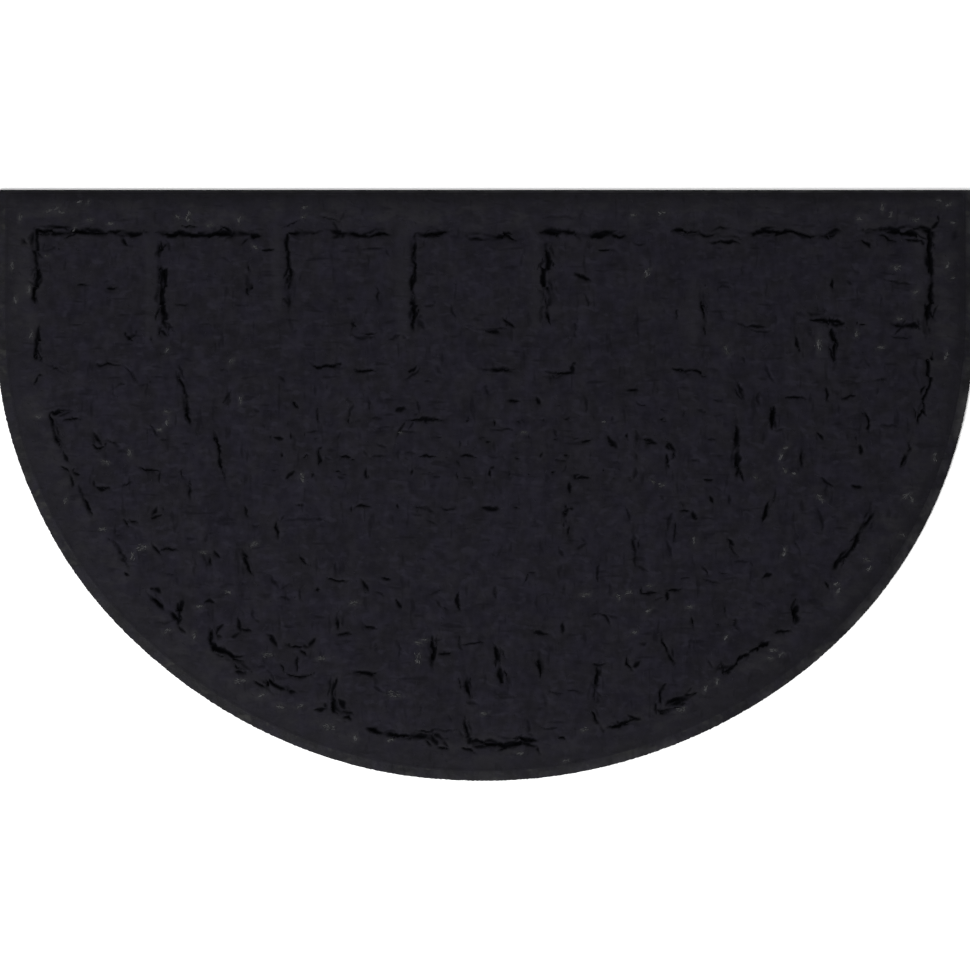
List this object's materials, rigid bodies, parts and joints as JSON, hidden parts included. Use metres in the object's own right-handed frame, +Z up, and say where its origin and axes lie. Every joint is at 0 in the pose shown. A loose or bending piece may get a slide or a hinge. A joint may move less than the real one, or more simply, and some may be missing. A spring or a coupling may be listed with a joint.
{
  "type": "half round doormat",
  "caption": "Flat half round doormat: a needled carpet face sunk with stone joints, pressed into a black crumb rubber backing with a low sloping rim.",
  "frame": {"origin": "on the floor under the middle of the mat's box", "axes": "+X along the straight edge, +Y towards the straight edge, +Z up out of the carpet"},
  "size_m": [0.762, 0.46, 0.0077],
  "materials": {
    "carpet": "matte needled felt, near black with a blue cast",
    "rubber": "matte crumb rubber, black"
  },
  "bodies": {
    "root": {"carpet_face": "carpet", "rubber_backing": "rubber"}
  },
  "joints": []
}
